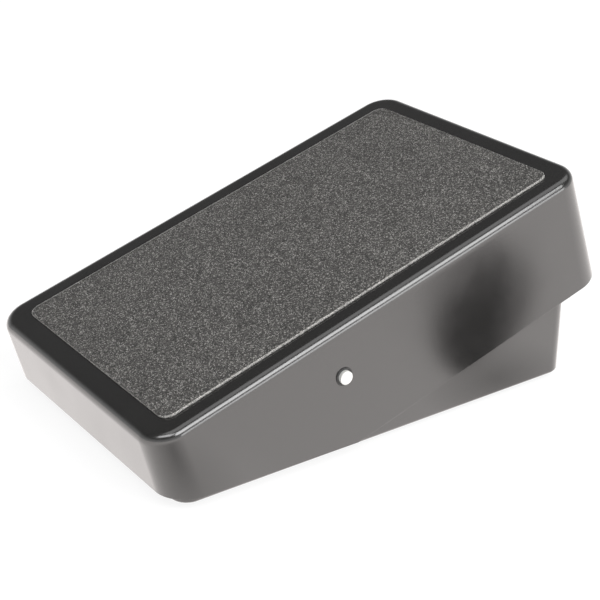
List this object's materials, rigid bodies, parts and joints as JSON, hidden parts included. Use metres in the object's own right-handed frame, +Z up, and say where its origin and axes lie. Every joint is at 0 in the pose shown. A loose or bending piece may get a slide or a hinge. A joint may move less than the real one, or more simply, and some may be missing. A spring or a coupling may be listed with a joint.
{
  "type": "treadle foot switch",
  "caption": "Treadle foot switch: a sloping gritted treadle rocks on a cross pin over a steel tray that holds a return spring and a roller-lever snap switch.",
  "frame": {"origin": "centre of the part's footprint, on the plane that the feet stand on", "axes": "+X to the right seen from the low heel end, +Y from the low heel end to the high toe end, +Z up"},
  "size_m": [0.1456, 0.234, 0.0997],
  "materials": {
    "enamel": "gloss black enamel on drawn steel sheet, faint orange peel",
    "grit": "self-adhesive anti-slip sheet, coarse mineral grit with sparkle",
    "zinc_steel": "bright zinc plating",
    "spring_steel": "oiled spring steel",
    "rubber": "moulded black rubber",
    "black_nylon": "moulded black nylon",
    "pale_nylon": "natural moulded nylon",
    "case_resin": "moulded phenolic resin",
    "cover_resin": "moulded phenolic resin",
    "brass": "bright brass"
  },
  "bodies": {
    "base": {"base_tray": "enamel", "foot_front_left": "rubber", "foot_front_right": "rubber", "foot_rear_left": "rubber", "foot_rear_right": "rubber", "hinge_pin": "zinc_steel", "pin_clip_left": "spring_steel", "pin_clip_right": "spring_steel", "rest_pad_left": "rubber", "rest_pad_right": "rubber", "travel_stop_left": "rubber", "travel_stop_right": "rubber", "spring_seat": "pale_nylon", "seat_screw": "zinc_steel", "return_spring": "spring_steel", "switch_bracket": "zinc_steel", "bracket_screws": "zinc_steel", "bracket_nuts": "zinc_steel", "switch_case": "case_resin", "switch_cover": "cover_resin", "switch_screws": "zinc_steel", "switch_nuts": "zinc_steel", "switch_terminals": "brass", "terminal_screws": "zinc_steel", "lever_pin": "zinc_steel", "cable_grommet": "rubber", "earth_screw": "brass", "earth_washer": "brass", "earth_nut": "brass"},
    "treadle": {"treadle": "enamel", "tread_pad": "grit", "hinge_bush_left": "black_nylon", "hinge_bush_right": "black_nylon", "striker_bracket": "zinc_steel", "striker_studs": "zinc_steel", "striker_nuts": "zinc_steel", "spring_cap": "pale_nylon"},
    "plunger": {"switch_plunger": "pale_nylon"},
    "lever": {"switch_lever": "zinc_steel", "roller_pin": "zinc_steel"},
    "roller": {"lever_roller": "black_nylon"}
  },
  "joints": [
    {"name": "treadle_pivot", "type": "hinge", "parent": "base", "child": "treadle", "pos_m": [0, -0.0293, 0.0391], "axis": [-1, 0, 0], "range_deg": [0, 10], "stiffness_Nm_per_rad": 8, "springref_deg": -14.32, "deforming": ["return_spring"]},
    {"name": "lever_pivot", "type": "hinge", "parent": "base", "child": "lever", "pos_m": [-0.03, -0.01787, 0.04278], "axis": [-1, 0, 0], "range_deg": [0, 15.35]},
    {"name": "plunger_travel", "type": "slide", "parent": "base", "child": "plunger", "axis": [0, 0, -1], "range_m": [0, 0.00225]},
    {"name": "roller_spin", "type": "hinge", "parent": "lever", "child": "roller", "pos_m": [-0.03, 0.00399, 0.04855], "axis": [-1, 0, 0], "continuous": true}
  ],
  "couplings": [
    {"joint": "lever_pivot", "follows": "treadle_pivot", "ratio": 1.531},
    {"joint": "plunger_travel", "follows": "treadle_pivot", "m_per_rad": 0.0128}
  ]
}
